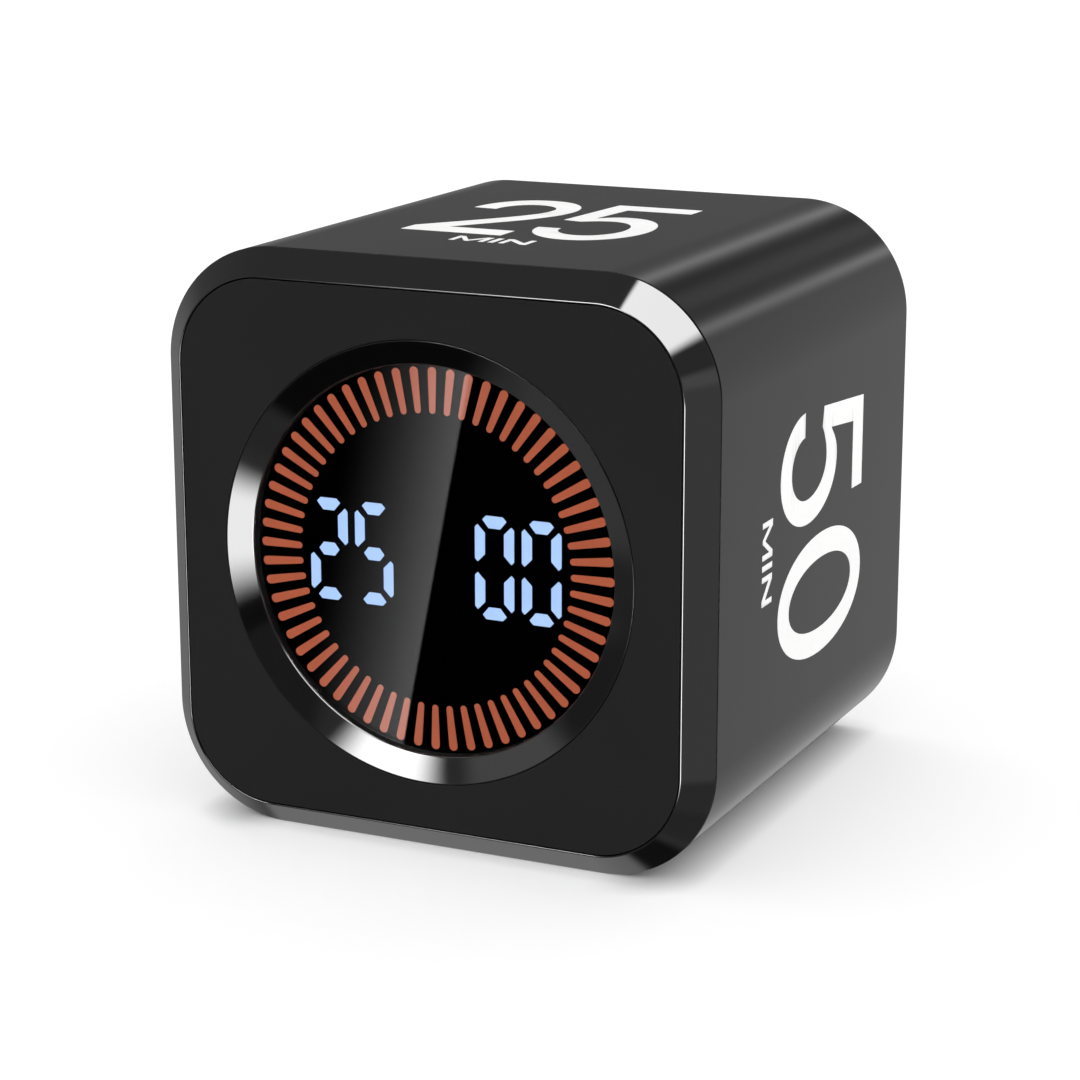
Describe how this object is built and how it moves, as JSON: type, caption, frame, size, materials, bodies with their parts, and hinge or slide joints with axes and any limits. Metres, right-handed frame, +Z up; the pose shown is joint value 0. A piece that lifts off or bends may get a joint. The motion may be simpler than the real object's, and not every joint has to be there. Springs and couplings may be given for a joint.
{
  "type": "countdown timer",
  "caption": "Cube countdown timer with rounded edges, a recessed round front display ringed by light bars, and push buttons, a sound switch and a charging socket behind.",
  "frame": {"origin": "middle of the bottom face, under the middle of the body's depth", "axes": "+Z up through the top face, -Y out of the display, +X to the right seen from the front"},
  "size_m": [0.06, 0.0576, 0.06],
  "materials": {
    "sleeve_black": "black anodised, satin",
    "bezel_gloss": "polished black",
    "plate_matte": "fine matte black",
    "ring_gloss": "polished black",
    "lens_smoked": "smoked clear acrylic",
    "mask_black": "printed black",
    "bars_orange": "orange-red light guide",
    "digits_blue": "light blue light guide, lit",
    "digits_off": "dark, unlit",
    "diffuser_white": "milky film",
    "shroud_white": "white moulded",
    "led_warm": "moulded package",
    "led_cool": "moulded package",
    "board_green": "solder mask over glass fibre",
    "chip_black": "moulded package",
    "screw_steel": "bright steel",
    "chassis_grey": "moulded",
    "battery_foil": "soft foil",
    "foam_grey": "foam with adhesive",
    "lead_red": "insulated wire",
    "lead_black": "insulated wire",
    "plug_cream": "moulded",
    "ribbon_cream": "flat flexible cable",
    "cover_black": "fine moulded texture",
    "screw_black": "black plated",
    "socket_steel": "stamped steel",
    "tongue_black": "moulded",
    "basket_black": "moulded",
    "cone_paper": "pressed paper",
    "magnet_grey": "plated",
    "mesh_black": "woven dust mesh",
    "motor_steel": "drawn steel",
    "boot_rubber": "moulded",
    "lead_blue": "insulated wire",
    "weight_grey": "sintered metal",
    "button_grey": "satin moulded"
  },
  "bodies": {
    "case": {"body_sleeve": "sleeve_black", "front_bezel": "bezel_gloss", "front_plate": "plate_matte", "dial_ring": "ring_gloss", "front_lens": "lens_smoked", "display_mask": "mask_black", "light_bars": "bars_orange", "digits_lit": "digits_blue", "digits_unlit": "digits_off", "diffuser_sheet": "diffuser_white", "light_shroud": "shroud_white", "bar_leds": "led_warm", "digit_leds": "led_cool", "display_board": "board_green", "display_drivers": "chip_black", "display_screws": "screw_steel", "inner_chassis": "chassis_grey", "chassis_screws": "screw_steel", "battery": "battery_foil", "battery_pad": "foam_grey", "battery_lead_red": "lead_red", "battery_lead_black": "lead_black", "battery_plug": "plug_cream", "ribbon_cable": "ribbon_cream", "ribbon_sockets": "plug_cream", "main_board": "board_green", "controller_chip": "chip_black", "motion_sensor": "chip_black", "power_chips": "chip_black", "board_screws": "screw_steel", "rear_cover": "cover_black", "cover_screws": "screw_black", "charging_socket": "socket_steel", "socket_tongue": "tongue_black", "speaker_basket": "basket_black", "speaker_cone": "cone_paper", "speaker_magnet": "magnet_grey", "speaker_mesh": "mesh_black", "speaker_leads": "lead_red", "motor_can": "motor_steel", "motor_boot": "boot_rubber", "motor_leads": "lead_blue", "tact_switches": "socket_steel", "switch_frame": "socket_steel"},
    "minutes_key": {"minutes_button": "button_grey", "minutes_plunger": "tongue_black"},
    "seconds_key": {"seconds_button": "button_grey", "seconds_plunger": "tongue_black"},
    "start_key": {"start_button": "button_grey", "start_plunger": "tongue_black"},
    "sound_slider": {"switch_cap": "button_grey", "switch_lever": "tongue_black"},
    "motor_rotor": {"motor_shaft": "screw_steel", "motor_weight": "weight_grey"}
  },
  "joints": [
    {"name": "minutes_press", "type": "slide", "parent": "case", "child": "minutes_key", "axis": [0, -1, 0], "range_m": [0, 0.0005], "stiffness_N_per_m": 300, "springref_m": -0.002},
    {"name": "seconds_press", "type": "slide", "parent": "case", "child": "seconds_key", "axis": [0, -1, 0], "range_m": [0, 0.0005], "stiffness_N_per_m": 300, "springref_m": -0.002},
    {"name": "start_press", "type": "slide", "parent": "case", "child": "start_key", "axis": [0, -1, 0], "range_m": [0, 0.0005], "stiffness_N_per_m": 300, "springref_m": -0.002},
    {"name": "sound_slide", "type": "slide", "parent": "case", "child": "sound_slider", "axis": [1, 0, 0], "range_m": [-0.002, 0.002]},
    {"name": "motor_spin", "type": "hinge", "parent": "case", "child": "motor_rotor", "pos_m": [0, 0.01725, 0.013], "axis": [1, 0, 0], "continuous": true}
  ]
}
